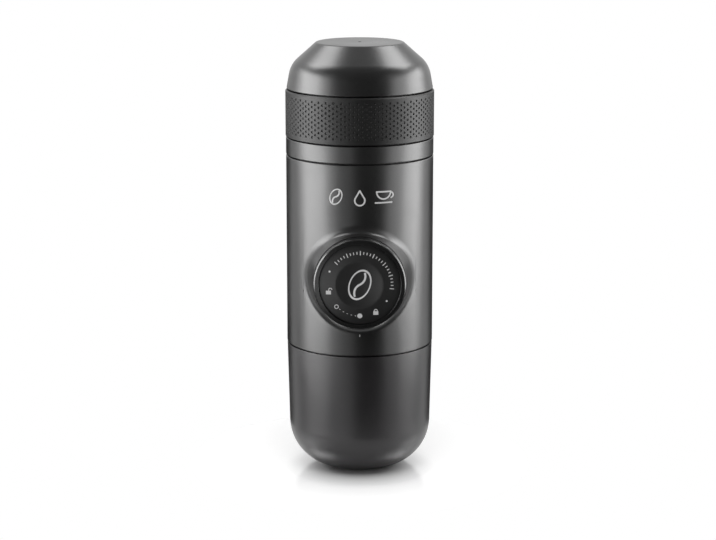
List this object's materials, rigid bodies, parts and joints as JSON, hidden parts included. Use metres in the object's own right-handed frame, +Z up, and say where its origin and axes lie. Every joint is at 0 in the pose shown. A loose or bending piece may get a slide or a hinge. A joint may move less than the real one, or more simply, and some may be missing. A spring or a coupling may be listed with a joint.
{
  "type": "handheld manual espresso maker",
  "caption": "Hand-pumped espresso maker: upright capsule body with a round-bottomed water tank, front pump knob, dimpled grip collar, outlet head, basket, scoop and domed cup.",
  "frame": {"origin": "centre of the water tank's flat foot, on the surface that it stands on", "axes": "+Z up along the body's axis, pump knob facing -Y"},
  "size_m": [0.06, 0.069, 0.175],
  "materials": {
    "shell": "satin graphite, fine moulded texture",
    "tank": "matt graphite",
    "cup": "satin graphite",
    "grip": "matt black, dimpled",
    "knob": "semi-gloss black",
    "knob_face": "matt black with pale marks",
    "frame": "moulded, plain",
    "valve_body": "moulded, plain",
    "outlet": "polished black",
    "scoop": "moulded, plain",
    "steel": "pressed and polished",
    "seal": "moulded",
    "soft_seal": "translucent moulded silicone look",
    "pump": "moulded, smooth bore"
  },
  "bodies": {
    "main_body": {"main_housing": "shell", "collar_ring": "shell", "inner_frame": "frame", "lower_bulkhead": "frame", "housing_seal": "seal", "frame_screws": "steel", "pump_cylinder": "pump", "pump_gasket": "seal", "rod_guide": "pump", "lock_ring": "frame", "pump_screws": "steel", "return_spring": "steel", "valve_block": "valve_body", "inlet_seat": "soft_seal", "inlet_spring": "steel", "outlet_spring": "steel", "outlet_plug": "valve_body", "riser_tube": "valve_body", "intake_strainer": "pump", "air_valve": "soft_seal"},
    "piston": {"piston_rod": "pump", "piston_seal": "seal", "knob_screw": "steel"},
    "knob": {"knob_cap": "knob", "knob_face": "knob_face"},
    "outlet": {"outlet_head": "outlet", "outlet_screen": "steel", "head_gasket": "soft_seal"},
    "grip": {"grip_collar": "grip"},
    "basket": {"filter_basket": "steel"},
    "scoop": {"scoop_tamper": "scoop"},
    "cup": {"espresso_cup": "cup", "cup_seal": "seal"},
    "tank_gasket": {"tank_seal": "seal"},
    "tank": {"water_tank": "tank"},
    "inlet_valve": {"inlet_ball": "steel"},
    "outlet_valve": {"outlet_ball": "steel"}
  },
  "joints": [
    {"name": "pump_stroke", "type": "slide", "parent": "main_body", "child": "piston", "axis": [0, -1, 0], "range_m": [0, 0.016], "deforming": ["return_spring"]},
    {"name": "knob_turn", "type": "hinge", "parent": "piston", "child": "knob", "pos_m": [0, 0, 0.0837], "axis": [0, -1, 0], "range_deg": [0, 46]},
    {"name": "head_lift", "type": "slide", "parent": "main_body", "child": "outlet", "axis": [0, 0, 1], "range_m": [0, 0.032]},
    {"name": "head_turn", "type": "hinge", "parent": "outlet", "child": "grip", "pos_m": [0, 0, 0], "axis": [0, 0, 1], "range_deg": [0, 722]},
    {"name": "basket_lift", "type": "slide", "parent": "main_body", "child": "basket", "axis": [0, 0, 1], "range_m": [0, 0.0161]},
    {"name": "scoop_lift", "type": "slide", "parent": "outlet", "child": "scoop", "axis": [0, 0, 1], "range_m": [0, 0.025]},
    {"name": "cup_lift", "type": "slide", "parent": "scoop", "child": "cup", "axis": [0, 0, 1], "range_m": [0, 0.04]},
    {"name": "tank_drop", "type": "slide", "parent": "main_body", "child": "tank_gasket", "axis": [0, 0, -1], "range_m": [0, 0.024]},
    {"name": "tank_turn", "type": "hinge", "parent": "tank_gasket", "child": "tank", "pos_m": [0, 0, 0], "axis": [0, 0, -1], "range_deg": [0, 542]},
    {"name": "inlet_valve_lift", "type": "slide", "parent": "main_body", "child": "inlet_valve", "axis": [0, 0, 1], "range_m": [0, 0.0012], "stiffness_N_per_m": 150, "springref_m": -0.002, "deforming": ["inlet_spring"]},
    {"name": "outlet_valve_lift", "type": "slide", "parent": "main_body", "child": "outlet_valve", "axis": [0, 0, 1], "range_m": [0, 0.0012], "stiffness_N_per_m": 150, "springref_m": -0.002, "deforming": ["outlet_spring"]}
  ],
  "couplings": [
    {"joint": "head_turn", "follows": "head_lift", "rad_per_m": 392.7},
    {"joint": "basket_lift", "follows": "head_lift", "ratio": 0.5},
    {"joint": "tank_turn", "follows": "tank_drop", "rad_per_m": 392.7}
  ]
}
